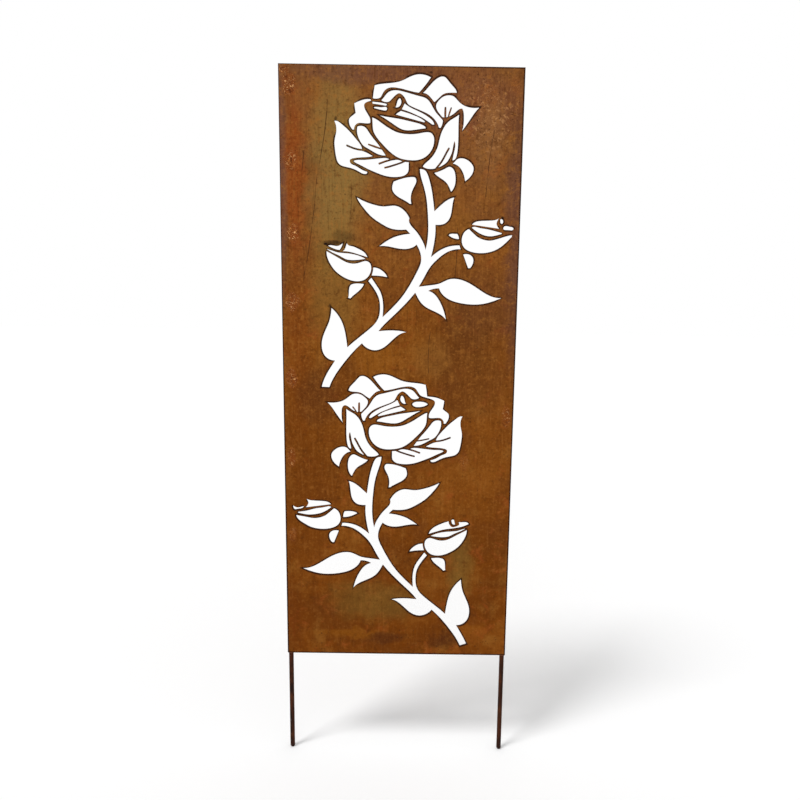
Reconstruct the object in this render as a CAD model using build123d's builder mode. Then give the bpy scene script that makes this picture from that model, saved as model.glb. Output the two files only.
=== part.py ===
from build123d import *
from collections import namedtuple
import os

os.makedirs("parts", exist_ok=True)

# Garden trellis: a tall sheet of rusted steel with two rose sprigs cut out of it, welded to two
# round stakes that are pushed into the ground. Millimetres, +Z up, the sheet's front towards -Y.
# The origin is midway between the stakes' tips, at the height of the tips.

# The sheet
panel_width = 470.0
panel_height = 1200.0
sheet_thickness = 3.0

# Bare steel between the sheet's edges and the outermost points of the pattern, which is
# stretched to fill the rest
left_margin = 16.1
right_margin = 12.4
top_margin = 15.0
bottom_margin = 20.6

# The two stakes behind it
stake_diameter = 10.0
stake_free_length = 227.0
stake_edge_margin = 1.0
stake_top_gap = 5.0
stake_tip_flat = 2.0

# The short weld beads between each stake and the back of the sheet
bead_length = 18.0
bead_radius = 3.0
bead_lift = 1.0

# Where the lowest and the highest of them are, from the sheet's bottom and top edge, and the
# place of each as a share of the way up between those two. They are spaced by eye.
lowest_bead_height = 112.0
highest_bead_drop = 34.0
bead_shares = (0.0, 0.148, 0.305, 0.467, 0.606, 0.735, 0.870, 1.0)

# The weld at each bottom corner, around the stake and under the sheet's bottom edge. It runs
# from the sheet's side edge to a little past the stake.
corner_bead_overrun = 2.0
corner_bead_radius = 3.0
corner_bead_drop = 2.4

# Every bead ends in a dome with a small flat in its middle, of this radius
bead_end_flat = 0.3

# Places that follow from the sizes above
depth = sheet_thickness + stake_diameter
front_y = -depth / 2
back_y = front_y + sheet_thickness
stake_y = back_y + stake_diameter / 2
stake_x = panel_width / 2 - stake_edge_margin - stake_diameter / 2
panel_bottom = stake_free_length
stake_length = stake_free_length + panel_height - stake_top_gap
stake_tip_radius = (stake_diameter - stake_tip_flat) / 2
corner_bead_length = stake_edge_margin + stake_diameter + corner_bead_overrun
lowest_bead_z = panel_bottom + lowest_bead_height
bead_climb = panel_height - lowest_bead_height - highest_bead_drop

# The sheet is drawn on its front face, seen from the front: x across, y up from its bottom edge
front_face = Plane(origin=(0, front_y, panel_bottom), x_dir=(1, 0, 0), z_dir=(0, -1, 0))

# The pattern is drawn in millimetres on a drawing of its own. This is where a sprig's origin
# lies on the drawing, which way the sprig faces, and how it is stretched and slanted. The lower
# sprig is the upper one turned over, a little shorter and tilted.
Sprig = namedtuple("Sprig", "across up facing width_factor height_factor lean tilt")
upper_sprig = Sprig(
    across=0.0, up=875.0, facing=1, width_factor=1.0, height_factor=1.0, lean=0.0, tilt=0.0
)
lower_sprig = Sprig(
    across=0.8, up=302.6, facing=-1, width_factor=0.996, height_factor=0.989, lean=0.008, tilt=0.009
)


def on_drawing(point, sprig):
    """A point of a sprig, put on the drawing that holds both sprigs."""
    x = point[0] * sprig.facing
    y = point[1]
    across = sprig.across + sprig.width_factor * x + sprig.lean * y
    up = sprig.up + sprig.height_factor * y + sprig.tilt * x
    return (across, up)


# An opening is a list of runs. Each run starts at a sharp corner and goes on smoothly to the
# first point of the next run, and the last run comes back to the first corner.

# Openings that both sprigs have

left_outer_petal = [
    [(-129, 223.2), (-124.5, 223.2), (-116, 218.3), (-100, 204.6), (-87, 190.3), (-78.5, 179.5)],
    [(-75.5, 172.5)],
    [(-75.5, 168.4), (-67, 165.5), (-60, 162)],
    [(-54.5, 159), (-62, 157.3), (-80, 156), (-92, 154.3), (-99, 150.5), (-98, 145.8),
     (-90, 141.3), (-77, 134)],
    [(-65.5, 129.8), (-66, 126.6), (-71, 125.4), (-80, 128.8), (-95, 135.5), (-110, 138.7),
     (-118, 142), (-124, 150), (-126.2, 160), (-128.5, 175), (-128.5, 188), (-125.5, 202),
     (-125.3, 212)],
]

left_inner_petal = [
    [(-84.5, 213.3), (-78.5, 214.7), (-70.5, 212.7), (-63.5, 204.8), (-55, 193.3),
     (-44, 180.5), (-35, 168)],
    [(-29.5, 160.4), (-42, 161.8), (-51, 165.5), (-62, 171.8), (-71.5, 177), (-77, 183),
     (-82, 192), (-85, 202)],
]

cup = [
    [(-56, 230.5), (-47, 226.5), (-33, 217), (-20, 209.3), (-8, 204), (4, 201.5), (18, 200.8),
     (33, 202.3), (48, 205), (57, 203.8), (62, 198.5), (63.6, 189), (61.5, 177.5), (55, 166),
     (44, 157), (30, 152.6), (14, 152.6), (-3, 156), (-18, 164.5), (-33, 178), (-47, 193.5),
     (-53.5, 205), (-55.3, 218)],
]

crescent = [
    [(-43.5, 234.8), (-32, 232.6), (-15, 230.3), (2, 227.7), (20, 223.8), (36, 220)],
    [(46, 215)],
    [(47.2, 211.7), (30, 209.2), (13, 207.4), (2, 209), (-12, 216.3), (-24, 224)],
]

lower_stripe = [
    [(-11.5, 236.3), (-6, 240.3)],
    [(-1, 243.3), (12, 239.7), (26, 235), (38, 229.7)],
    [(45.5, 224.5)],
    [(44, 222.6), (28, 226.3), (12, 230.3), (-2, 233.7)],
]

upper_stripe = [
    [(6, 257), (3, 251)],
    [(0.5, 245.8), (10, 243.2), (28, 236.3), (42, 230), (53, 223)],
    [(60, 218.6)],
    [(63.5, 219), (60.5, 225.5), (52, 232.8), (38, 240.8), (22, 247.5), (12, 252.7)],
]

inner_band = [
    [(-38.8, 262), (-33, 268.5), (-26, 276.3), (-16, 280.3), (-2, 279.7), (15, 275.5),
     (35, 270.5), (47, 266.7), (55.5, 258.3), (65, 243), (74, 233.3)],
    [(79.6, 227.5), (78.8, 220.5)],
    [(75.5, 212.8)],
    [(72.5, 213.3), (66.5, 225), (56, 235), (40, 243), (20, 250.9), (12.5, 255.5), (7.5, 264.5),
     (1, 272.3), (-4.5, 274.7), (-11, 271.5), (-18.5, 264.3), (-24, 259.5), (-28, 258.5)],
]

heart_swirl = [
    [(-12, 249.5), (-9, 256.5), (-6.5, 263.5), (-3.5, 266), (-0.6, 261), (-1.5, 254.5),
     (-6, 249.8)],
]

right_outer_petal = [
    [(110.6, 238), (104, 233.4), (95.5, 228.5), (86.5, 220.5), (79.5, 209), (75, 196.5),
     (71.5, 181), (65.5, 167), (55, 154), (47, 147)],
    [(42.3, 141.2), (48, 138), (56, 136.6), (64, 137.2), (72, 139.5), (81, 143.8),
     (88.5, 149.5), (94, 158), (98.3, 168), (100.6, 180)],
    [(102.8, 189), (104.5, 182), (103.3, 171.5), (101, 161.5)],
    [(99.7, 153.3), (104, 155), (107.8, 163), (109.5, 175), (110.2, 200)],
]

bottom_left_petal = [
    [(-92.3, 149.5), (-88, 151.1), (-75, 151.8), (-58, 153.2), (-40, 155.4), (-29, 155.9)],
    [(-23, 154), (-17, 151.8), (-9, 153), (-2, 152)],
    [(4, 149.6)],
    [(15.2, 148.8), (15, 138), (13.8, 130.5), (8, 124.5), (-2, 121.3), (-16, 120.5),
     (-32, 122.8), (-50, 129), (-66, 135.6), (-80, 142.5), (-89, 146.8)],
]

left_calyx = [
    [(-13.8, 112.2), (-4, 116), (9, 119.7), (21, 121.3), (28, 120), (30.2, 114),
     (26.5, 103.8), (21.5, 92.5), (19.7, 81)],
    [(21, 70.5)],
    [(18, 70.4), (2, 79.6), (-11.5, 88.7), (-16.3, 96.5), (-16.3, 104.5)],
]

right_calyx = [
    [(65, 129.7), (76, 133.3), (86, 138), (95, 141.5), (101.5, 137.5), (105.5, 128.5),
     (106.6, 118), (104.5, 104.5)],
    [(99, 95.2)],
    [(98, 95.2), (94.5, 102.8), (89, 111.2), (79, 118.7), (69.5, 125)],
]

right_sepal = [
    [(100, 147.3), (104.5, 151.3), (109, 155.8), (116, 157.8), (126, 156), (135, 150),
     (140.5, 142), (140.7, 134.5), (135.5, 124)],
    [(125.2, 114.8), (123.3, 123.5), (119, 133.8), (112.5, 141.8)],
]

# The stem, its leaves and the stalks of both buds are one opening, in two parts that the stem's
# foot joins. The foot is longer in the upper sprig.
stem_down_to_foot = [
    [(36.8, 136.5), (42.5, 136), (47.5, 133.5), (52, 126.5), (56.5, 113.5), (61.5, 92),
     (64.7, 70)],
    [(66.3, 57.3), (75, 65.5), (88, 76.5), (97, 81.7)],
    [(104.7, 84), (101.5, 70), (99.8, 56), (95.5, 42.5), (87, 34), (78, 31.5)],
    [(68.9, 31.3), (68.9, 14), (66.8, -4), (63.5, -21)],
    [(61, -31), (74, -20.5), (90, -12), (105, -8.2)],
    [(117.2, -7.6)],
    [(119.3, -14.8), (106, -16), (92, -21.3), (76, -33), (60, -50), (49.5, -68)],
    [(37.6, -89.2), (60, -86.2), (80, -82), (96, -74.5), (112, -72.8), (132, -78), (155, -91),
     (177, -104)],
    [(203, -109.3), (185, -116.3), (165, -121.5), (145, -122.8), (122, -120.5), (101, -114.5),
     (87, -105.5)],
    [(78.3, -91.8), (67, -93)],
    [(56.5, -97.2), (68.5, -103), (79, -116), (87, -132.5)],
    [(93, -153.5), (80, -142.5), (60, -133.3), (44.5, -122.8), (35.5, -110)],
    [(30.8, -101), (10, -125), (-13, -148), (-31, -165.5)],
    [(-42, -178.5), (-25, -177), (-8, -176.8)],
    [(14.5, -180), (2, -183.5), (-16, -198), (-33, -212.3), (-49, -217.3), (-64, -213.5)],
    [(-75.5, -203.5), (-95, -223), (-116, -249), (-131, -271)],
]

stem_up_from_foot = [
    [(-129.8, -239.2), (-141, -237), (-150.5, -229.5), (-156, -216), (-156, -200),
     (-150.5, -182), (-141.5, -161.5), (-137.8, -146)],
    [(-136.5, -133.5), (-126.5, -143.5), (-116, -160), (-109.5, -180), (-106.5, -198)],
    [(-104.7, -212), (-88, -197.5), (-65, -178.7), (-50, -164.5), (-42, -151), (-39.3, -133),
     (-41.5, -114), (-49, -98)],
    [(-62.8, -79.5)],
    [(-56.8, -73), (-47, -87), (-38.5, -101), (-34, -117), (-33, -133)],
    [(-34, -150.5), (-15, -132), (4, -110.5), (21, -84.5), (35, -58), (41.5, -40),
     (40.5, -25), (36.5, -14.5)],
    [(32.5, -7.3), (22, -13.7), (7, -16.2), (-12, -13.7), (-28, -11)],
    [(-41.5, -11.5), (-30, -3.3), (-15, 5.3), (0, 10.3)],
    [(19.5, 13.5)],
    [(11.5, 21.3), (-6, 20.8), (-20, 23.3), (-37, 31.5), (-55, 43.3), (-70, 58.5),
     (-80, 71.5)],
    [(-85.5, 81), (-71, 74), (-52, 67.8), (-30, 65), (-12, 66.7), (1, 62.3), (11.5, 53)],
    [(17.6, 43), (17, 36.5), (20, 30.5), (31, 18.5), (41, 4.5), (47.5, -8)],
    [(50, -17.5), (53.5, 0), (55, 22), (53.7, 52), (50, 84), (44.5, 105), (39, 122.5)],
]

left_bud_calyx = [
    [(-97.5, -87.5), (-90, -85), (-80, -84.7)],
    [(-71.5, -85.5), (-76, -93.5), (-86, -103)],
    [(-98.5, -114.3)],
    [(-103, -113), (-101.5, -101), (-100, -91.5)],
]

left_bud_sepal = [
    [(-53, -53), (-45, -54), (-35, -59.3), (-28.5, -65.5)],
    [(-25.3, -71.3), (-38, -69.3)],
    [(-56.3, -68.6), (-54, -61)],
]

left_bud_body = [
    [(-145.5, -22.5), (-144.5, -33), (-137.5, -48.7), (-127, -62), (-112, -72.5),
     (-97, -78.7), (-82, -80.2), (-70, -76.7), (-60.5, -67), (-57, -55), (-59.5, -45),
     (-66.5, -40.7), (-79, -43.5), (-94, -46), (-107, -43.2), (-121, -35.8), (-135, -28)],
]

left_bud_band = [
    [(-145, -18), (-137, -20.5), (-124, -24.5), (-110, -25.7), (-95, -27.2), (-81, -30.7)],
    [(-68.5, -36.3), (-80, -38.2), (-98, -39), (-108, -37.2), (-119, -31.5), (-131, -26.3)],
]

right_bud_lower_sepal = [
    [(124.7, -25), (132, -24), (139.5, -26.3), (144.5, -32.5), (144.8, -40)],
    [(138.8, -51.3)],
    [(135, -51.3), (130.5, -39.5)],
]

right_bud_top = [
    [(140.8, 32.7), (147, 37.8), (158, 40.2), (175, 41), (186, 42.3)],
    [(193, 45.3), (190.2, 40), (189, 35.5), (190.4, 31)],
    [(194.8, 25.6), (180, 27.6), (162, 30)],
]

shared_openings = [
    left_outer_petal, left_inner_petal, cup, crescent, lower_stripe, upper_stripe, inner_band,
    heart_swirl, right_outer_petal, bottom_left_petal, left_calyx, right_calyx, right_sepal,
    left_bud_calyx, left_bud_sepal, left_bud_body, left_bud_band, right_bud_lower_sepal,
    right_bud_top,
]

# Openings that only the upper sprig has in this shape

upper_back_left_petal = [
    [(-55, 265), (-53.5, 277)],
    [(-51.5, 289), (-40, 291.5), (-20, 293.6), (0, 298), (17, 306), (32, 310), (46, 308.7)],
    [(55.8, 304.6), (45.6, 290.6)],
    [(33, 276.3), (16, 279.3), (0, 283.2), (-12, 285), (-24, 284.3), (-31, 280.5), (-36.5, 273),
     (-41, 266.3), (-47, 264.4)],
]

upper_back_right_petal = [
    [(40.5, 276), (55, 291.7), (66, 302), (75, 306.4), (81, 306.3), (89, 299.3), (97, 290.5),
     (103.5, 283)],
    [(105.6, 277.2), (92, 277.2), (81, 275), (72, 268)],
    [(62.8, 259.7), (57, 266.5), (50, 273)],
]

upper_right_collar = [
    [(79, 232.5), (72, 240), (67, 248.5), (66.5, 255), (72, 264), (80, 270.5), (90, 273),
     (99, 271.5), (108, 263.5), (119, 255.3), (133, 251.2)],
    [(149.5, 251.5), (140, 240.8), (131, 227.5), (123, 216)],
    [(117, 208), (119.6, 219), (120, 232), (118.3, 245)],
    [(116.5, 248.7), (110.5, 247.5), (103, 241.3), (94.5, 235.5)],
]

upper_left_shoulder = [
    [(-58.8, 263.4), (-69, 263.4), (-80, 260.4)],
    [(-90.5, 255.8), (-89.3, 247)],
    [(-87.8, 238.2), (-94, 233.5), (-100, 227.5), (-100.5, 220), (-97, 211.5)],
    [(-94, 207.3)],
    [(-90.6, 207.3), (-89.5, 213.5), (-85, 218.3), (-75, 219.6)],
    [(-60, 219.9), (-60.5, 229), (-65, 237), (-70.5, 246.5), (-71, 254), (-66, 258)],
    [(-58.8, 260)],
]

upper_foot = [
    [(-141.7, -293.8)],
    [(-157.2, -293.3), (-149, -271), (-138, -252)],
]
upper_stem_and_leaves = stem_down_to_foot + upper_foot + stem_up_from_foot

upper_heart_top_bar = [
    [(-56, 259.2), (-45, 258.3), (-37, 257.1), (-30, 255.8), (-27.8, 254.2), (-28.7, 252.7),
     (-34.5, 252.5), (-40, 253.3), (-47, 254.3)],
    [(-55, 255)],
]

upper_heart_low_bar = [
    [(-52.8, 249.6), (-45, 249.8), (-37, 249.4), (-28.7, 249.2), (-27.7, 246.7), (-28.7, 243.8),
     (-34.5, 243.3), (-40, 244.3), (-47, 245.8)],
    [(-52, 247.1)],
]

upper_left_bud_left_tip = [
    [(-142.5, -12), (-138.5, -10.9), (-128, -12.1), (-121, -11.5), (-116, -8.5)],
    [(-113, -6.8), (-115.5, -13.3)],
    [(-119.7, -20), (-128, -18.3), (-137, -14.7)],
]

upper_left_bud_right_tip = [
    [(-114, -22), (-109.5, -18), (-107.2, -12)],
    [(-105.3, -6.5), (-101.5, -10.8), (-94, -12.5), (-83, -17), (-73, -22.3), (-67, -28.5)],
    [(-64.8, -33), (-75, -30), (-88, -26), (-101, -23)],
]

upper_right_bud_sepal = [
    [(95.2, 12), (98, 14), (104, 14.9)],
    [(111.8, 14.8), (114.5, 10.5)],
    [(115.6, 4.8), (107, 5.7), (100, 8.5)],
]

upper_right_bud_body = [
    [(135, 24.3), (143.5, 16.5), (153, 8.8), (164, 4.3), (176, 2.6), (190, 5.4), (203, 9.6)],
    [(220.3, 13.9)],
    [(219.6, 10.6), (211, 1.5), (199.5, -8.7), (186, -16.5), (170, -21), (153, -21.7),
     (138, -18.8), (127, -12.5), (121.8, -3), (121.6, 7), (125.5, 17)],
]

upper_right_bud_band = [
    [(140.3, 27), (144, 28.6), (155, 26.9), (170, 24.7), (184, 21.6), (195, 18.8)],
    [(199.8, 17.6)],
    [(199.6, 16), (190, 13.1), (177, 10.9), (164, 13), (152, 18.5)],
]

upper_openings = [
    upper_back_left_petal, upper_back_right_petal, upper_right_collar, upper_left_shoulder,
    upper_stem_and_leaves, upper_heart_top_bar, upper_heart_low_bar, upper_left_bud_left_tip,
    upper_left_bud_right_tip, upper_right_bud_sepal, upper_right_bud_body, upper_right_bud_band,
]

# Openings that only the lower sprig has in this shape

lower_back_left_petal_and_shoulder = [
    [(-55, 265), (-53.5, 277)],
    [(-51.5, 289), (-40, 291.5), (-20, 293.6), (0, 298), (17, 306), (32, 310), (46, 308.7)],
    [(55.8, 304.6), (45.6, 290.6)],
    [(33, 276.3), (16, 279.3), (0, 283.2), (-12, 285), (-24, 284.3), (-31, 280.5), (-36.5, 273),
     (-41, 267), (-48, 263.6), (-58, 260.8), (-66, 258), (-71, 254), (-70.5, 246.5), (-65, 237),
     (-60.5, 229)],
    [(-60, 219.9), (-75, 219.6), (-85, 218.3), (-89.5, 213.5)],
    [(-90.6, 207.3)],
    [(-94, 207.3), (-97, 211.5), (-100.5, 220), (-100, 227.5), (-94, 233.5)],
    [(-87.8, 238.2), (-89.3, 247)],
    [(-90.5, 255.8), (-80, 260.4), (-69, 263.4), (-60, 264.3)],
]

lower_back_right_petal = [
    [(40.5, 276), (55, 291.7), (66, 302), (75, 306.4), (81, 306.3), (89, 299.3), (97, 290.5),
     (103.5, 283)],
    [(106, 276.5), (98, 273.8), (89, 273.3), (80, 270.9), (71, 265)],
    [(62.8, 259.7), (57, 266.5), (50, 273)],
]

lower_right_collar = [
    [(79, 232.5), (72, 240), (67, 248.5), (66.5, 255), (72, 262), (80, 267.7), (90, 270),
     (98.5, 268.2), (107, 262), (119, 254.5), (133, 251.2)],
    [(149.5, 251.5), (140, 240.8), (131, 227.5), (123, 216)],
    [(117, 208), (119.6, 219), (119.8, 232), (118.4, 241.5)],
    [(114, 245.3), (108, 243.5), (101.5, 238.5), (94.5, 233.8)],
]

lower_foot = [
    [(-138.9, -286.4)],
    [(-152.6, -281.8), (-147, -270), (-137, -251.5)],
]
lower_stem_and_leaves = stem_down_to_foot + lower_foot + stem_up_from_foot

lower_left_bud_top = [
    [(-149.3, -9.5), (-146, -5.7), (-138, -4.6)],
    [(-126, -3.8), (-129, -8)],
    [(-128.3, -11.8), (-120, -15.3), (-113, -15.2), (-109, -11)],
    [(-106.5, -3), (-95, -7), (-82, -13), (-72, -20)],
    [(-65.3, -31.8), (-78, -27.7), (-95, -22.5), (-110, -20.1), (-124, -18.2), (-137, -15)],
]

lower_right_bud_sepal = [
    [(85.6, 13.6), (90, 16.2), (96.3, 17.9), (103.8, 18.5)],
    [(112.4, 17.9), (115, 11.5)],
    [(115.6, 4.6), (107, 5.2), (97, 8)],
]

lower_right_bud_body = [
    [(135, 24.3), (143.5, 16.5), (153, 8.8), (164, 4.3), (176, 2.6), (190, 4.6), (203, 7.2)],
    [(214.4, 9.2)],
    [(213.9, 5.6), (208.5, -2), (199.5, -8.7), (186, -16.5), (170, -21), (153, -21.7),
     (138, -18.8), (127, -12.5), (121.8, -3), (121.6, 7), (125.5, 17)],
]

lower_right_bud_band = [
    [(140.3, 27), (144, 28.6), (155, 26.9), (170, 24.7), (184, 21.2), (195, 18.2), (204, 17)],
    [(210.8, 16.3)],
    [(211, 13.7), (203, 12.0), (190, 9.8), (177, 10.4), (164, 13), (152, 18.5)],
]

lower_right_bud_slot = [
    [(198.2, 28.6), (202, 27.8), (206, 26.6), (210.5, 26), (215, 26.7)],
    [(219.8, 29.8), (220.8, 27.5), (219.6, 24), (217.8, 21.5), (213, 22), (207, 22.8),
     (201.5, 24.6)],
]

lower_openings = [
    lower_back_left_petal_and_shoulder, lower_back_right_petal, lower_right_collar,
    lower_stem_and_leaves, lower_left_bud_top, lower_right_bud_sepal, lower_right_bud_body,
    lower_right_bud_band, lower_right_bud_slot,
]

# Rounded openings without a corner, one smooth loop each
upper_bud_eye = [
    (195.9, 41), (197.5, 44.2), (200.4, 43.2), (201.8, 39.6), (200.8, 36.2), (198.2, 35.3),
    (196.2, 37.5),
]

upper_bud_slot = [
    (202.3, 26.8), (205.3, 30.7), (210, 31), (215.5, 29.8), (220.6, 28.7), (222.6, 26.2),
    (220.6, 23.5), (215, 23.1), (209.5, 23.4), (204.3, 23.9),
]

lower_heart_oval = [
    (-55.8, 249.5), (-48, 253), (-38, 253.8), (-29, 252.3), (-25.2, 248.5), (-30, 243.3),
    (-40, 242.4), (-50, 244.3),
]

lower_bud_eye = [
    (-121, -10.5), (-118.8, -3.5), (-116.8, 0.6), (-113, 0), (-113.3, -5), (-117, -10.8),
]

upper_loops = [upper_bud_eye, upper_bud_slot]
lower_loops = [lower_heart_oval, lower_bud_eye]

# Petal veins: tongues of steel left standing in an opening. Each one starts inside the steel
# beside the opening and ends in a round tip at its last point.
Vein = namedtuple("Vein", "width path")
shared_veins = [
    Vein(3.5, [(84.2, 224), (84.2, 237), (84.2, 249.7)]),
    Vein(3.2, [(-68, 169.6), (-76.3, 170.3), (-85, 171.3), (-95, 174.2), (-104.5, 177.9)]),
    Vein(3.3, [(-12, 155), (-19, 153), (-33, 148.3), (-42, 145.3)]),
    Vein(3.0, [(9, 151.5), (4, 149), (-10, 143.9), (-20, 140.7), (-31, 137.8)]),
    Vein(3.5, [(64, 132.5), (69, 138.5), (79.5, 152), (86.3, 164.5), (92.3, 175.2)]),
]
upper_veins = [
    Vein(2.5, [(88.5, 228), (91, 236.5), (95.3, 249.6)]),
    Vein(2.5, [(-31, 170.5), (-37, 172.5), (-50, 176.5), (-62.8, 180.5)]),
]
lower_veins = [
    Vein(2.5, [(87, 226), (91.5, 234.5), (96.9, 241.8)]),
    Vein(2.5, [(-34, 170.5), (-40, 171.2), (-50, 173), (-60.5, 175.4)]),
]

sprigs = [
    (upper_sprig, shared_openings + upper_openings, upper_loops, shared_veins + upper_veins),
    (lower_sprig, shared_openings + lower_openings, lower_loops, shared_veins + lower_veins),
]

# How far the pattern reaches on its drawing, and how it is stretched to the sheet's margins
drawn_points = [
    on_drawing(point, sprig)
    for sprig, openings, loops, veins in sprigs
    for runs in openings + [loops]
    for run in runs
    for point in run
]
drawing_left = min(across for across, up in drawn_points)
drawing_right = max(across for across, up in drawn_points)
drawing_bottom = min(up for across, up in drawn_points)
drawing_top = max(up for across, up in drawn_points)
pattern_width = panel_width - left_margin - right_margin
pattern_height = panel_height - bottom_margin - top_margin
stretch_across = pattern_width / (drawing_right - drawing_left)
stretch_up = pattern_height / (drawing_top - drawing_bottom)
vein_stretch = (stretch_across + stretch_up) / 2


def place(point, sprig):
    """A point of a sprig, put on the front face of the sheet."""
    across, up = on_drawing(point, sprig)
    x = -panel_width / 2 + left_margin + (across - drawing_left) * stretch_across
    y = bottom_margin + (up - drawing_bottom) * stretch_up
    return (x, y)


# The sheet, with the openings cut through it and the veins left in them
with BuildPart() as panel:
    with BuildSketch(front_face):
        with Locations((0, panel_height / 2)):
            Rectangle(panel_width, panel_height)
        for sprig, openings, loops, veins in sprigs:
            for runs in openings:
                with BuildLine():
                    for run, next_run in zip(runs, runs[1:] + runs[:1]):
                        points = [place(point, sprig) for point in run + next_run[:1]]
                        if len(points) == 2:
                            Line(*points)
                        else:
                            Spline(*points)
                make_face(mode=Mode.SUBTRACT)
            for loop in loops:
                with BuildLine():
                    Spline(*[place(point, sprig) for point in loop], periodic=True)
                make_face(mode=Mode.SUBTRACT)
            for vein in veins:
                path = [place(point, sprig) for point in vein.path]
                width = vein.width * vein_stretch
                with BuildLine():
                    Spline(*path)
                trace(line_width=width)
                with Locations(path[-1]):
                    Circle(width / 2)
    extrude(amount=-sheet_thickness)
panel.part.label = "panel"
export_step(panel.part, "parts/panel.step")


# What lies behind the sheet, once at each side edge
for side, side_name in ((-1, "left"), (1, "right")):
    # A round stake from its blunt tip in the ground to just below the sheet's top edge
    with BuildPart() as stake:
        with BuildSketch():
            with Locations((side * stake_x, stake_y)):
                Circle(stake_diameter / 2)
        extrude(amount=stake_length)
        fillet(stake.edges().sort_by(Axis.Z)[0], stake_tip_radius)
    stake.part.label = f"{side_name}_stake"
    export_step(stake.part, f"parts/{side_name}_stake.step")

    # Short beads in the groove between the stake and the sheet, on the stake's inner side
    bead_x = side * (stake_x - stake_diameter / 2)
    bead_places = [
        (bead_x, back_y + bead_lift, lowest_bead_z + share * bead_climb) for share in bead_shares
    ]
    with BuildPart() as tack_welds:
        with Locations(*bead_places):
            Cylinder(bead_radius, bead_length)
        fillet(tack_welds.edges().filter_by(GeomType.CIRCLE), bead_radius - bead_end_flat)
        split(bisect_by=Plane.XZ.offset(-back_y), keep=Keep.BOTTOM)
        add(stake.part, mode=Mode.SUBTRACT)
    tack_welds.part.label = f"{side_name}_tack_welds"
    export_step(tack_welds.part, f"parts/{side_name}_tack_welds.step")

    # One bead around the stake where it comes out below the sheet
    with BuildPart() as corner_weld:
        corner_place = (
            side * (panel_width / 2 - corner_bead_length / 2),
            back_y,
            panel_bottom - corner_bead_drop + corner_bead_radius,
        )
        with Locations(corner_place):
            Cylinder(corner_bead_radius, corner_bead_length, rotation=(0, 90, 0))
        fillet(corner_weld.edges().filter_by(GeomType.CIRCLE), corner_bead_radius - bead_end_flat)
        add(panel.part, mode=Mode.SUBTRACT)
        add(stake.part, mode=Mode.SUBTRACT)
    corner_weld.part.label = f"{side_name}_corner_weld"
    export_step(corner_weld.part, f"parts/{side_name}_corner_weld.step")
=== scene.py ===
import math

import bmesh
import bpy
from mathutils import Matrix, Vector, noise
from mathutils.bvhtree import BVHTree


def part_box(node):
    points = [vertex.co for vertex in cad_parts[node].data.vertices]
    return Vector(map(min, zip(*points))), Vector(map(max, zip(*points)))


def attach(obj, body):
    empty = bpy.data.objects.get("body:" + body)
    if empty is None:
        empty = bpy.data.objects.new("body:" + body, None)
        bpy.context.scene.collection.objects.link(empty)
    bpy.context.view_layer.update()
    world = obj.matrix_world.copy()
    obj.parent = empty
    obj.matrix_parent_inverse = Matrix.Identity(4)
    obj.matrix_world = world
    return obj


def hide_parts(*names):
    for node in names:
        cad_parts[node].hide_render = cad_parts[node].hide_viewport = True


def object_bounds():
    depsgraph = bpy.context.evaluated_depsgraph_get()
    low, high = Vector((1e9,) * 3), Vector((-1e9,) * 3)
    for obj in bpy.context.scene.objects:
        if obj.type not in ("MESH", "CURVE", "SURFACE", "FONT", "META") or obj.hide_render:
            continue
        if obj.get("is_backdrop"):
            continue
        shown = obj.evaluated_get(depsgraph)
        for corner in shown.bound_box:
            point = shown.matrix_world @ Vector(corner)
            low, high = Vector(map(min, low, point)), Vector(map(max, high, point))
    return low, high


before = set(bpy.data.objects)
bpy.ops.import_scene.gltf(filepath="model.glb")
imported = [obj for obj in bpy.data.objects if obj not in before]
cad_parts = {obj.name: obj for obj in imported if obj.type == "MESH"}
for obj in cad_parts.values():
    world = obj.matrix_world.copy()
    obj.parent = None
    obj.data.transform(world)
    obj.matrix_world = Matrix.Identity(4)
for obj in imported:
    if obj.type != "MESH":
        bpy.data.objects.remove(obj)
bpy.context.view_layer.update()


# The sheet: one rectangle of mild steel plate that has been left to rust. Two rose sprigs are
# cut right through it, which leaves a thin burnt band beside every cut and a dark cut wall.
# This is its shape: smooth outlines, slightly worn corners and a line where the burnt band ends.
sheet_low, sheet_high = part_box("panel")
sheet_thickness = sheet_high.y - sheet_low.y
sheet_bottom = sheet_low.z
worn_corner = 0.00025
scorch_width = 0.0036
sharp_corner = math.radians(28)
turn_per_chord = math.radians(6)
shortest_chord = 0.0004
probe = 0.0001
widest_mitre = 2.0
most_attempts = 26
narrow_share = 0.38
scorch_end = 0.0004
slant = math.radians(40)
ray_start = 1e-5
nothing_met = 1.0

sheet = bmesh.new()
sheet.from_mesh(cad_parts["panel"].data)
bmesh.ops.remove_doubles(sheet, verts=sheet.verts, dist=1e-6)
sheet.normal_update()
cut_walls = BVHTree.FromBMesh(sheet)


def heading(before, here, after):
    """The way an outline runs through a point, or None at a sharp corner."""
    came = here - before
    goes = after - here
    if came.angle(goes) > sharp_corner:
        return None
    return (came.normalized() * goes.length + goes.normalized() * came.length).normalized()


def neighbour(vert, edge):
    """The next point of the outline past vert, away from edge."""
    return next(other for other in vert.link_edges if other is not edge).other_vert(vert).co


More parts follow.
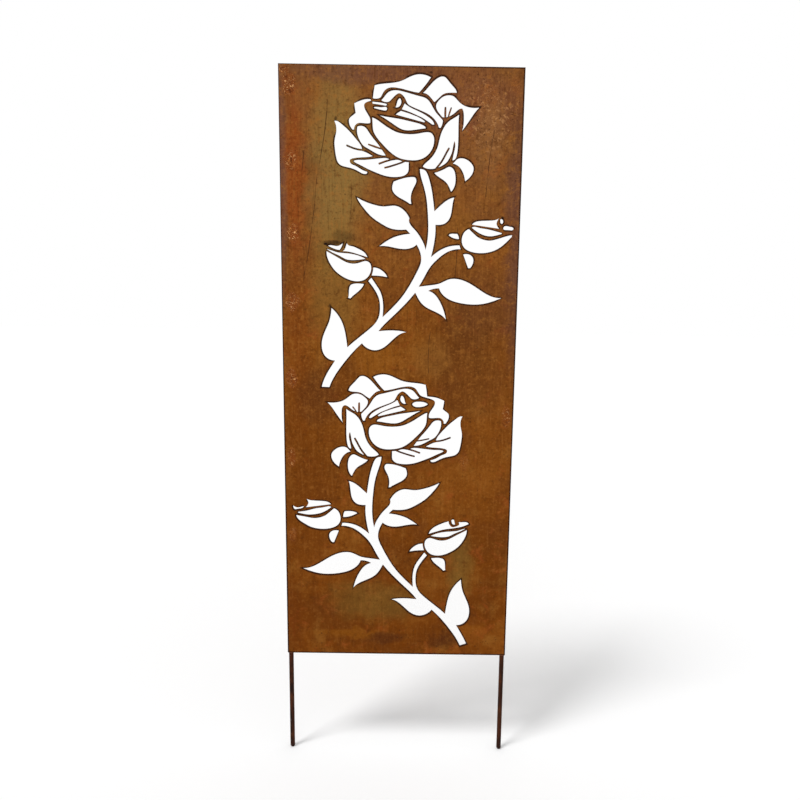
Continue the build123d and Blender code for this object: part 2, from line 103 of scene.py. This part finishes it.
def bend_outline_edge(bm, edge, start, end, leaves, arrives):
    """Splits one straight chord of an outline into shorter ones that follow the curve."""
    first, last = start.co.copy(), end.co.copy()
    chord = last - first
    cuts = int(leaves.angle(arrives) / turn_per_chord)
    cuts = min(cuts, int(chord.length / shortest_chord))
    near, rest = start, edge
    for step in range(1, cuts + 1):
        middle = bmesh.utils.edge_split(rest, near, 0.5)[1]
        t = step / (cuts + 1)
        middle.co = (
            first * (1 + 2 * t) * (1 - t) ** 2
            + last * t * t * (3 - 2 * t)
            + leaves * chord.length * t * (1 - t) ** 2
            - arrives * chord.length * t * t * (1 - t)
        )
        near = middle
        rest = next(other for other in middle.link_edges if end in other.verts)


def room_inside(point, way):
    """How wide the steel is from a point of an outline, straight in and slanting to both sides."""
    middle = point + Vector((0, sheet_thickness / 2, 0)) + way * ray_start
    turns = [Matrix.Rotation(side * slant, 3, "Y") for side in (-1, 0, 1)]
    reached = [cut_walls.ray_cast(middle, turn @ way)[3] for turn in turns]
    return min(distance or nothing_met for distance in reached)


def turned_over(face):
    """True if the front face, seen from the front, has a corner that runs the wrong way."""
    for corner in face.loops:
        here = corner.vert.co
        on = corner.link_loop_next.vert.co - here
        back = corner.link_loop_prev.vert.co - here
        if on.cross(back).y > 0:
            return True
    return False


def line_inside(bm, region, reach, share, burnt=None):
    """Draws a line inside the region's outline, reach away, or nearer by that share of the room
    where the steel is narrow. Without a given burnt level, it is burnt as far as it falls short."""
    made = bmesh.ops.inset_region(
        bm, faces=region, thickness=probe, use_boundary=True, use_even_offset=True
    )
    band = set(made["faces"])
    inside = set(region)
    moves = {}
    for vert in {v for face in band for v in face.verts if not inside.isdisjoint(v.link_faces)}:
        rung = next(e for e in vert.link_edges if band.issuperset(e.link_faces))
        outer = rung.other_vert(vert).co
        step = vert.co - outer
        way = step.normalized()
        mitre = min(step.length / probe, widest_mitre)
        travel = min(reach * mitre, share * room_inside(outer, way))
        moves[vert] = [outer, way, travel]
        vert[scorch] = 1 - travel / (reach * mitre) if burnt is None else burnt
    # Where a face would turn over in a tight place, its corners stay nearer to the outline
    near = {face for vert in moves for face in vert.link_faces}
    for attempt in range(most_attempts):
        for vert, (outer, way, travel) in moves.items():
            vert.co = outer + way * travel
        turned = [face for face in near if turned_over(face)]
        if not turned:
            break
        for vert in {v for face in turned for v in face.verts}.intersection(moves):
            moves[vert][2] *= 0.6


# The front face's outlines, with every curve made smooth
bmesh.ops.delete(
    sheet, geom=[face for face in sheet.faces if face.normal.y > -0.9], context="FACES"
)
bmesh.ops.delete(
    sheet, geom=[edge for edge in sheet.edges if not edge.is_boundary], context="EDGES_FACES"
)
bends = []
for edge in sheet.edges:
    start, end = edge.verts
    leaves = heading(neighbour(start, edge), start.co, end.co)
    arrives = heading(start.co, end.co, neighbour(end, edge))
    chord = (end.co - start.co).normalized()
    if leaves is None and arrives is None:
        continue
    if leaves is None:
        leaves = 2 * arrives.dot(chord) * chord - arrives
    if arrives is None:
        arrives = 2 * leaves.dot(chord) * chord - leaves
    bends.append((edge, start, end, leaves, arrives))
for bend in bends:
    bend_outline_edge(sheet, *bend)
bmesh.ops.triangle_fill(
    sheet, use_beauty=True, edges=sheet.edges[:], normal=Vector((0, -1, 0))
)
sheet.normal_update()
if sum(face.normal.y for face in sheet.faces) > 0:
    bmesh.ops.reverse_faces(sheet, faces=sheet.faces)

# The worn corner and the burnt band beside each cut
scorch = sheet.verts.layers.float.new("scorch")
for vert in sheet.verts:
    vert[scorch] = 1.0
front = sheet.faces[:]
line_inside(sheet, front, worn_corner, narrow_share, 1.0)
line_inside(sheet, front, scorch_width, narrow_share)
line_inside(sheet, front, scorch_end, narrow_share / 2.5, 0.0)

# The thickness, and the worn corners on both sides
made = bmesh.ops.extrude_face_region(sheet, geom=sheet.faces[:], use_keep_orig=True)
back = [item for item in made["geom"] if isinstance(item, bmesh.types.BMVert)]
bmesh.ops.translate(sheet, verts=back, vec=(0, sheet_thickness, 0))
bmesh.ops.recalc_face_normals(sheet, faces=sheet.faces)
sheet_middle = (sheet_low.y + sheet_high.y) / 2
walls = [face for face in sheet.faces if abs(face.normal.y) < 0.5]
for vert in {vert for face in walls for vert in face.verts}:
    vert.co.y += math.copysign(worn_corner, sheet_middle - vert.co.y)


hard_crease = math.radians(35)


def finished(bm, name, material, node):
    """Makes the object of a piece: smooth faces, hard creases and its finish; it hangs under the
    root body and hides the CAD part that it stands for.
    """
    bm.normal_update()
    for face in bm.faces:
        face.smooth = True
    for edge in bm.edges:
        edge.smooth = edge.calc_face_angle(0.0) < hard_crease
    mesh = bpy.data.meshes.new(name)
    bm.to_mesh(mesh)
    bm.free()
    mesh.materials.append(material)
    piece = bpy.data.objects.new(name, mesh)
    bpy.context.scene.collection.objects.link(piece)
    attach(piece, "root")
    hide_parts(node)
    return piece


class Wire:
    """A value, colour or vector that runs between the nodes of a material. Sums of wires and
    numbers add their Math nodes."""

    def __init__(self, tree, socket):
        self.tree = tree
        self.socket = socket

    def node(self, kind, settings=None, inputs=None, output=0):
        """Adds a node of that kind: its settings first, then the values or links of its inputs."""
        made = self.tree.nodes.new("ShaderNode" + kind)
        for name, value in (settings or {}).items():
            setattr(made, name, value)
        for name, value in (inputs or {}).items():
            if isinstance(value, Wire):
                self.tree.links.new(value.socket, made.inputs[name])
            else:
                made.inputs[name].default_value = value
        return Wire(self.tree, made.outputs[output])

    def math(self, operation, first, second=0.0):
        return self.node("Math", {"operation": operation}, {0: first, 1: second})

    def __add__(self, other):
        return self.math("ADD", self, other)

    def __sub__(self, other):
        return self.math("SUBTRACT", self, other)

    def __rsub__(self, other):
        return self.math("SUBTRACT", other, self)

    def __mul__(self, other):
        return self.math("MULTIPLY", self, other)

    def __truediv__(self, other):
        return self.math("DIVIDE", self, other)

    __radd__ = __add__

    def ramp(self, low, high):
        """0 up to low and 1 from high on, with a soft slope between. It also runs backwards."""
        settings = {"interpolation_type": "SMOOTHSTEP"}
        return self.node("MapRange", settings, {"Value": self, "From Min": low, "From Max": high})

    def part(self, axis):
        return self.node("SeparateXYZ", None, {0: self}, output="XYZ".index(axis))

    def noise(self, size, detail=3.0, roughness=0.55, distortion=0.0):
        """Cloudy noise about 0.5 whose lumps are size across, in the units of this vector."""
        settings = {"normalize": True}
        inputs = {"Vector": self, "Scale": 1 / size, "Detail": detail}
        inputs.update({"Roughness": roughness, "Distortion": distortion})
        return self.node("TexNoise", settings, inputs)


def vector(x, y, z):
    """A vector of three values, of which at least one is a wire."""
    wire = next(value for value in (x, y, z) if isinstance(value, Wire))
    return wire.node("CombineXYZ", None, {0: x, 1: y, 2: z})


def tinted(mask, under, over):
    """The colour under, with the colour over laid on it as strongly as the mask says."""
    wire = next(value for value in (mask, under, over) if isinstance(value, Wire))
    # A Mix node takes its two colours at sockets 6 and 7 and gives the mixed one at socket 2
    return wire.node("Mix", {"data_type": "RGBA"}, {0: mask, 6: under, 7: over}, output=2)


def paint(code):
    """A colour written as six hexadecimal digits, as the light values that a shader takes."""
    parts = [int(code[i : i + 2], 16) / 255 for i in (0, 2, 4)]
    linear = [c / 12.92 if c <= 0.04045 else ((c + 0.055) / 1.055) ** 2.4 for c in parts]
    return (*linear, 1.0)


def grey(level):
    return (level, level, level, 1.0)


def new_material(name):
    """A material with one rough, dull surface shader. Returns it, the shader and the place on
    the object in millimetres, as a wire."""
    material = bpy.data.materials.new(name)
    material.use_nodes = True
    shader = material.node_tree.nodes["Principled BSDF"]
    where = Wire(material.node_tree, None).node("TexCoord", output="Object")
    millimetres = where.node(
        "VectorMath", {"operation": "SCALE"}, {0: where, "Scale": 1000.0}
    )
    return material, shader, millimetres


def finish_surface(shader, colour, roughness, height):
    """Joins the colour, the roughness and the relief, in metres, to the shader."""
    bump = height.node("Bump", None, {"Distance": 1.0, "Strength": 1.0, "Height": height})
    tree = height.tree
    tree.links.new(colour.socket, shader.inputs["Base Color"])
    tree.links.new(roughness.socket, shader.inputs["Roughness"])
    tree.links.new(bump.socket, shader.inputs["Normal"])


# The sheet's finish: years of rust. Its brown is darker and more saturated at the bottom, and
# lighter and greyer towards the top, which is painted reflection of the pale surroundings. It has a
# bare khaki streak at the upper left, an orange run beside the left edge, dark run marks,
# scratches, light crusts over the welds behind it, and soot at the cuts' tips.
# Places and sizes are in millimetres, from the middle and from the bottom edge of the sheet.
rusted_sheet, shader, place = new_material("rusted_sheet")
u = place.part("X")
v = place.part("Z") - sheet_bottom * 1000
depth = place.part("Y") - sheet_middle * 1000
rear = depth.ramp(-0.5, 0.5)
front_side = 1 - rear
burnt = place.node("Attribute", {"attribute_name": "scorch"}, output="Fac")

# The back takes its noise from another place, so that it isn't the front's mirror image
flat = vector(u, rear * 700, v)
warp_across = flat.noise(34.0, 4.0) - 0.5
warp_up = vector(v, rear * 300, u).noise(34.0, 4.0) - 0.5
drift_across = flat.noise(120.0, 2.0) - 0.5
drift_up = vector(v, rear * 300, u).noise(120.0, 2.0) - 0.5


def oval(centre, reach, ragged=30.0):
    """1 in the middle of an oval zone, falling to 0 at its ragged edge."""
    across = (u - centre[0] + (warp_across + drift_across) * ragged) / reach[0]
    up = (v - centre[1] + (warp_up + drift_up) * ragged) / reach[1]
    return (across * across + up * up).ramp(1.0, 0.0)


def scratch(top, bottom, bow, width):
    """1 along a thin line from top to bottom that bows sideways in its middle."""
    along = (v - bottom[1]) / (top[1] - bottom[1])
    line = along * (top[0] - bottom[0]) + bottom[0] + along * (1 - along) * (4 * bow)
    off = (u - line + warp_across * 2.5) / width
    ends = along.ramp(0.0, 0.06) * along.ramp(1.0, 0.94)
    return (off * off).ramp(1.0, 0.0) * ends


# The brown of the whole sheet: darker and more saturated at the bottom, lighter and greyer towards
# the top, where the grey is painted reflection of the pale surroundings
sheen_climb = v + warp_up * 260
brown = tinted(sheen_climb.ramp(60.0, 640.0), paint("6b3400"), paint("79420c"))
# This upper ramp to a greyer brown is painted reflection, not a colour of the rust
brown = tinted(sheen_climb.ramp(620.0, 1130.0), brown, paint("7e5029"))
clouds = flat.noise(150.0, 5.0, 0.6)
brown = tinted(clouds.ramp(0.42, 0.72) * 0.6, brown, paint("8a5017"))
brown = tinted(clouds.ramp(0.56, 0.3) * 0.55, brown, paint("5d310b"))
blooms = flat.noise(62.0, 5.0, 0.62)
brown = tinted(blooms.ramp(0.5, 0.72) * 0.5, brown, paint("8e5c22"))
brown = tinted(blooms.ramp(0.5, 0.3) * 0.5, brown, paint("633410"))
blush = flat.noise(40.0, 5.0, 0.7, 0.6)
brown = tinted(blush.ramp(0.53, 0.7) * 0.5, brown, paint("93491a"))

# The zones that differ
zones = [
    ("8b6e38", 0.75, (-122, 1010), (74, 250), 50.0),
    ("84642c", 0.45, (-128, 780), (66, 170), 50.0),
    ("883f12", 0.8, (-208, 985), (27, 210), 34.0),
    ("7a3c0a", 0.6, (-206, 640), (30, 210), 30.0),
    ("6a4538", 0.7, (-236, 1010), (18, 330), 12.0),
    ("5f3d31", 0.75, (240, 880), (44, 330), 44.0),
    ("744430", 0.55, (120, 1130), (150, 90), 60.0),
    ("6c4433", 0.7, (-60, 1190), (190, 34), 34.0),
    ("8f6136", 0.5, (168, 1075), (34, 120), 44.0),
    ("5f371c", 0.6, (165, 745), (90, 100), 50.0),
    ("633712", 0.55, (140, 610), (120, 120), 60.0),
    ("6c3603", 0.6, (-190, 440), (100, 240), 60.0),
    ("84521c", 0.5, (95, 880), (60, 90), 50.0),
    ("8a5a24", 0.5, (62, 640), (50, 60), 50.0),
    ("8f5414", 0.6, (-46, 648), (60, 60), 50.0),
    ("5c3010", 0.6, (-160, 570), (70, 80), 50.0),
    ("5c2f0d", 0.45, (60, 470), (120, 60), 60.0),
    ("6d5422", 0.5, (-40, 120), (130, 60), 50.0),
    ("745a26", 0.55, (128, 190), (34, 110), 44.0),
    ("8a500c", 0.5, (-95, 46), (95, 16), 44.0),
    ("874c10", 0.55, (150, 60), (60, 20), 44.0),
    ("4c240a", 0.7, (-24, 38), (60, 17), 44.0),
    ("4c240a", 0.8, (108, 36), (56, 26), 44.0),
    ("632d02", 0.6, (-228, 90), (36, 120), 34.0),
]
for code, strength, centre, reach, ragged in zones:
    mask = oval(centre, reach, ragged) * front_side * strength
    brown = tinted(mask, brown, paint(code))

# Run marks that follow the rain down, then mottling, and fine dark and light specks
coarse = v.ramp(-700.0, 1050.0)
runs = vector(u, rear * 90, v / 14).noise(6.0, 5.0, 0.68)
brown = tinted(runs.ramp(0.51, 0.7) * coarse * 0.5, brown, paint("552c08"))
brown = tinted(runs.ramp(0.49, 0.3) * coarse * 0.4, brown, paint("99622c"))
mottle = flat.noise(17.0, 6.0, 0.72)
brown = tinted(mottle.ramp(0.51, 0.7) * 0.58, brown, paint("522806"))
brown = tinted(mottle.ramp(0.49, 0.32) * coarse * 0.5, brown, paint("9c6225"))
grit = flat.noise(5.5, 3.0, 0.65, 0.4)
brown = tinted(grit.ramp(0.53, 0.72) * coarse * 0.55, brown, paint("472205"))
brown = tinted(grit.ramp(0.47, 0.3) * coarse * 0.4, brown, paint("a56d30"))

# Light specks at the top right, and dark pits, which are thicker there and at the bottom
light_field = oval((165, 1110), (66, 90), 50.0) * front_side
light_specks = flat.noise(7.0, 4.0, 0.7, 0.8).ramp(0.52, 0.66) * light_field
brown = tinted(light_specks * 0.6, brown, paint("c08a56"))
pit_field = oval((120, 1120), (190, 160), 60.0) * 0.6 + oval((20, 30), (260, 60), 40.0) * 0.4
pit_field = flat.noise(60.0).ramp(0.4, 0.7) * 0.7 + pit_field
pits = flat.noise(4.4, 2.0, 0.5).ramp(0.62, 0.7) * pit_field
brown = tinted(pits * 0.85, brown, paint("2c160a"))

# Long dark scratches
scratches = scratch((-141, 1140), (-163, 996), 3.0, 1.1)
for top, bottom, bow, width in (
    ((-163, 1000), (-194, 786), 4.0, 0.9),
    ((-187, 1045), (-194, 990), 0.0, 0.9),
    ((180, 1090), (166, 955), -2.0, 1.0),
    ((112, 905), (107, 780), 2.0, 0.8),
    ((-96, 985), (-99, 905), 1.0, 0.7),
    ((62, 700), (60, 610), -2.0, 0.8),
):
    scratches = scratches + scratch(top, bottom, bow, width)
scratches = scratches * flat.noise(28.0, 2.0).ramp(0.3, 0.55) * front_side
brown = tinted(scratches * 0.85, brown, paint("3a1d0c"))

# Light crusts over the welds, with a redder stain around each
crust_places = [
    ((-216, 1165), (17, 26), 0.95),
    ((-224, 1192), (14, 10), 0.7),
    ((-214, 1027), (18, 28), 0.7),
    ((-212, 885), (17, 26), 1.0),
    ((-214, 752), (20, 25), 0.85),
    ((-219, 600), (14, 30), 0.75),
    ((-221, 436), (14, 30), 0.65),
    ((-219, 268), (13, 26), 0.45),
    ((167, 1150), (26, 34), 0.38),
    ((216, 1165), (14, 26), 0.35),
    ((219, 525), (14, 34), 0.55),
    ((137, 430), (17, 32), 0.4),
]
crusted = None
for centre, reach, strength in crust_places:
    spot = oval(centre, reach, 16.0) * strength
    crusted = spot if crusted is None else crusted + spot
crusted = crusted * front_side
brown = tinted(crusted.ramp(0.05, 0.8) * 0.5, brown, paint("84401a"))
flakes = flat.noise(10.0, 5.0, 0.75, 1.8).ramp(0.5, 0.62) * crusted.ramp(0.0, 0.7)
brown = tinted(flakes * 0.8, brown, paint("b06a30"))
hollows = flat.noise(8.0, 4.0, 0.7, 1.2).ramp(0.47, 0.38) * crusted.ramp(0.1, 0.6)
brown = tinted(hollows * 0.7, brown, paint("4f210c"))
bright = flat.noise(5.5, 3.0, 0.6, 1.4).ramp(0.55, 0.64) * crusted.ramp(0.2, 0.85)
brown = tinted(bright * 0.85, brown, paint("e6ab6e"))

# Heat stains round the tack welds, on the sheet's back
tack_shares = (0.0, 0.148, 0.305, 0.467, 0.606, 0.735, 0.87, 1.0)
lowest_tack = 112.0
highest_tack = 1166.0
groove_from_middle = 224
stain_half_width = 16
stain_half_height = 25
off_groove = u.math("ABSOLUTE", u) - groove_from_middle + warp_across * 10
off_groove = off_groove / stain_half_width
stains = None
for share in tack_shares:
    tack_height = lowest_tack + share * (highest_tack - lowest_tack)
    off_tack = (v - tack_height + warp_up * 14) / stain_half_height
    stain = (off_groove * off_groove + off_tack * off_tack).ramp(1.0, 0.15)
    stains = stain if stains is None else stains + stain
brown = tinted(stains * rear * 0.75, brown, paint("35201a"))

# Soot at the cuts: a dark band along every one, and black spots past a few sharp tips
soot = oval((-132, 868), (26, 7), 10.0) * 0.75 + oval((-106, 880), (34, 15), 26.0) * 0.4
for centre, reach, strength in (
    ((56, 1188), (4, 3), 0.8),
    ((-126, 1102), (4, 5), 0.7),
    ((150, 1126), (4, 3), 0.6),
    ((200, 921), (4, 4), 1.0),
    ((-147, 866), (5, 3), 0.8),
    ((-139, 745), (4, 6), 0.6),
    ((202, 766), (6, 3), 0.6),
    ((93, 720), (6, 5), 0.5),
):
    soot = soot + oval(centre, reach, 2.0) * strength
brown = tinted(soot * front_side, brown, paint("20120b"))
edge = (burnt + (mottle - 0.5) * 0.5).ramp(0.05, 0.5)
brown = tinted(edge * 0.9, brown, paint("2a1307"))

dullness = 0.8 + (mottle - 0.5) * 0.3 + (clouds - 0.5) * 0.2 + crusted * 0.1
relief = mottle * 0.0002 + grit * 0.00012 - pits * 0.00015 - scratches * 0.0001
relief = relief + (flakes * 0.0006 + bright * 0.0004)
finish_surface(shader, brown, dullness, relief)
shader.inputs["Specular IOR Level"].default_value = 0.06
finished(sheet, "sheet", rusted_sheet, "panel")


# The stakes: two lengths of 10 mm round bar with blunt tips, which run down from just below
# the sheet's top edge and are pushed into the ground. They rust darker than the sheet.
rusted_bar, shader, place = new_material("rusted_bar")
bar_clouds = vector(place.part("X"), place.part("Y"), place.part("Z") / 6).noise(8.0, 5.0, 0.65)
bar_grit = place.noise(1.4, 3.0, 0.6)
bar_colour = tinted(bar_clouds.ramp(0.3, 0.7), paint("180b05"), paint("4a2310"))
bar_colour = tinted(place.noise(30.0, 4.0).ramp(0.5, 0.75) * 0.5, bar_colour, paint("6a3614"))
bar_colour = tinted(bar_grit.ramp(0.5, 0.75) * 0.6, bar_colour, paint("120804"))
bar_relief = bar_clouds * 0.00012 + bar_grit * 0.00008
finish_surface(shader, bar_colour, 0.72 + (bar_clouds - 0.5) * 0.3, bar_relief)
shader.inputs["Specular IOR Level"].default_value = 0.1
tip_round = 0.004
top_chamfer = 0.0005
unevenness = 0.00012
dents_across = 90
dents_along = 45
dent_level = 0.45
stations = 110
long_edge = 0.1


def level_edges(bm, z):
    """The edges that lie round the bar at one height."""
    return [e for e in bm.edges if all(abs(v.co.z - z) < 1e-5 for v in e.verts)]


for side_name in ("left", "right"):
    node = side_name + "_stake"
    low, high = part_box(node)
    radius = (high.x - low.x) / 2
    stake = bmesh.new()
    bmesh.ops.create_cone(
        stake, cap_ends=True, segments=40, radius1=radius, radius2=radius, depth=high.z - low.z,
        matrix=Matrix.Translation((low + high) / 2),
    )
    long_edges = [e for e in stake.edges if abs(e.verts[0].co.z - e.verts[1].co.z) > long_edge]
    bmesh.ops.subdivide_edges(stake, edges=long_edges, cuts=stations, use_grid_fill=False)
    for z, size, segments in ((low.z, tip_round, 6), (high.z, top_chamfer, 2)):
        bmesh.ops.bevel(
            stake, geom=level_edges(stake, z), offset=size, segments=segments, profile=0.5,
            affect="EDGES", material=-1,
        )
    for vert in stake.verts:
        x, y, z = vert.co
        dent = noise.noise(Vector((x * dents_across, y * dents_across, z * dents_along)))
        axis = Vector(((low.x + high.x) / 2, (low.y + high.y) / 2, vert.co.z))
        out = vert.co - axis
        if out.length > radius * 0.9:
            vert.co += out.normalized() * unevenness * min(dent - dent_level, 0)
    finished(stake, side_name + "_bar", rusted_bar, node)


# The tack welds: short lumpy beads that were run down the groove between each stake and the
# sheet's back, about every 150 mm, and have rusted over with the rest.
rusted_weld, shader, place = new_material("rusted_weld")
weld_clouds = place.noise(4.0, 4.0, 0.65)
weld_colour = tinted(weld_clouds.ramp(0.3, 0.7), paint("4a2a1a"), paint("8a5230"))
weld_colour = tinted(place.noise(1.2, 3.0).ramp(0.55, 0.75) * 0.6, weld_colour, paint("b27a48"))
finish_surface(shader, weld_colour, 0.7 + (weld_clouds - 0.5) * 0.3, weld_clouds * 0.00015)
shader.inputs["Specular IOR Level"].default_value = 0.2
ripple_length = 0.0016
ripple_bow = 0.0007
ripple_height = 0.05
lumpiness = 0.14
length_lumpiness = 0.05


def lay_bead(bm, centre, half_size, along, seed):
    """One weld bead: a lump drawn out along an axis, with a ripple for each drop of metal."""
    made = bmesh.ops.create_uvsphere(bm, u_segments=28, v_segments=40, radius=1.0)
    shift = Vector((seed * 7.3, seed * 3.1, 0))
    for vert in made["verts"]:
        length = vert.co.z * half_size.z
        arc = 1 - vert.co.x * vert.co.x
        wave = math.cos(math.tau * (length + ripple_bow * arc) / ripple_length)
        lump = noise.noise(vert.co * 1.7 + shift)
        swell = 1 + ripple_height * wave * arc + lumpiness * lump
        vert.co.x *= half_size.x * swell
        vert.co.y *= half_size.y * swell
        vert.co.z = length * (1 + length_lumpiness * lump)
    bmesh.ops.rotate(bm, verts=made["verts"], matrix=along)
    bmesh.ops.translate(bm, verts=made["verts"], vec=centre)
    return made["verts"]


upright = Matrix.Identity(3)
tack_half_size = Vector((0.0026, 0.0029, 0.0084))
tack_from_end = 0.009
tack_behind_sheet = 0.001
for side, side_name in ((-1, "left"), (1, "right")):
    node = side_name + "_tack_welds"
    low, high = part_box(node)
    stake_low, stake_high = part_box(side_name + "_stake")
    groove_x = stake_low.x if side > 0 else stake_high.x
    tacks = bmesh.new()
    for number, share in enumerate(tack_shares):
        z = low.z + tack_from_end + share * (high.z - low.z - 2 * tack_from_end)
        centre = (groove_x, sheet_high.y + tack_behind_sheet, z)
        verts = lay_bead(tacks, centre, tack_half_size, upright, number + side)
        for vert in verts:
            vert.co.y = max(vert.co.y, sheet_high.y)
    finished(tacks, side_name + "_tacks", rusted_weld, node)


# The corner welds: one lump of weld metal around each stake where it leaves the sheet's bottom
# corner, laid sideways under the edge.
sideways = Matrix.Rotation(math.radians(90), 3, "Y")
corner_half_size = Vector((0.0029, 0.0027, 0.0064))
corner_seed = 20
for side, side_name in ((-1, "left"), (1, "right")):
    node = side_name + "_corner_weld"
    low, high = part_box(node)
    corner = bmesh.new()
    lay_bead(corner, (low + high) / 2, corner_half_size, sideways, corner_seed + side)
    finished(corner, side_name + "_corner", rusted_weld, node)


# The floor and the light around: a white floor under a white sky, one soft lamp high at the
# front left, which throws the shadow back to the right, and a weak one beside the camera.
floor_size = 30.0
floor_mesh = bmesh.new()
bmesh.ops.create_grid(floor_mesh, x_segments=1, y_segments=1, size=floor_size / 2)
mesh = bpy.data.meshes.new("floor")
floor_mesh.to_mesh(mesh)
floor_mesh.free()
floor = bpy.data.objects.new("floor", mesh)
bpy.context.scene.collection.objects.link(floor)
floor_paint, shader, place = new_material("floor_paint")
shader.inputs["Base Color"].default_value = grey(1.0)
shader.inputs["Roughness"].default_value = 0.9
shader.inputs["Specular IOR Level"].default_value = 0.0
mesh.materials.append(floor_paint)
floor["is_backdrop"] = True

sky_level = 0.62
world = bpy.data.worlds.new("sky")
bpy.context.scene.world = world
world.use_nodes = True
sky = world.node_tree.nodes["Background"]
straight = Wire(world.node_tree, None).node("LightPath", output="Is Camera Ray")
shiny = straight.node("LightPath", output="Is Glossy Ray")
clear = straight.node("LightPath", output="Is Transmission Ray")
seen = (straight + shiny + clear).ramp(0.0, 1.0)
level = seen * (1 - sky_level) + sky_level
world.node_tree.links.new(level.socket, sky.inputs["Strength"])
sky.inputs["Color"].default_value = grey(1.0)


def lamp(name, towards, strength, spread):
    """A far lamp that shines in one direction, soft by its spread."""
    light = bpy.data.lights.new(name, "SUN")
    light.energy = strength
    light.angle = math.radians(spread)
    holder = bpy.data.objects.new(name, light)
    holder.rotation_euler = Vector(towards).to_track_quat("-Z", "Y").to_euler()
    bpy.context.scene.collection.objects.link(holder)


lamp("high_lamp", (0.45, 0.36, -1.0), 1.3, 15.0)
lamp("front_lamp", (0.05, 1.0, -0.35), 0.35, 25.0)

# The camera stands in front at about the height of the upper rose and looks slightly down.
camera = bpy.data.cameras.new("camera")
camera.sensor_width = 36.0
camera.lens = 31.40
camera.shift_x = -0.0322
viewer = bpy.data.objects.new("camera", camera)
viewer.location = (0.0489, -1.4133, sheet_bottom + 0.7809)
turn = Matrix.Rotation(math.radians(-0.252), 3, "Z")
tip = Matrix.Rotation(math.radians(90 - 9.011), 3, "X")
roll = Matrix.Rotation(math.radians(0.88), 3, "Z")
viewer.rotation_euler = (turn @ tip @ roll).to_euler()
bpy.context.scene.collection.objects.link(viewer)
bpy.context.scene.camera = viewer
bpy.context.scene.view_settings.view_transform = "Standard"

low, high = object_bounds()
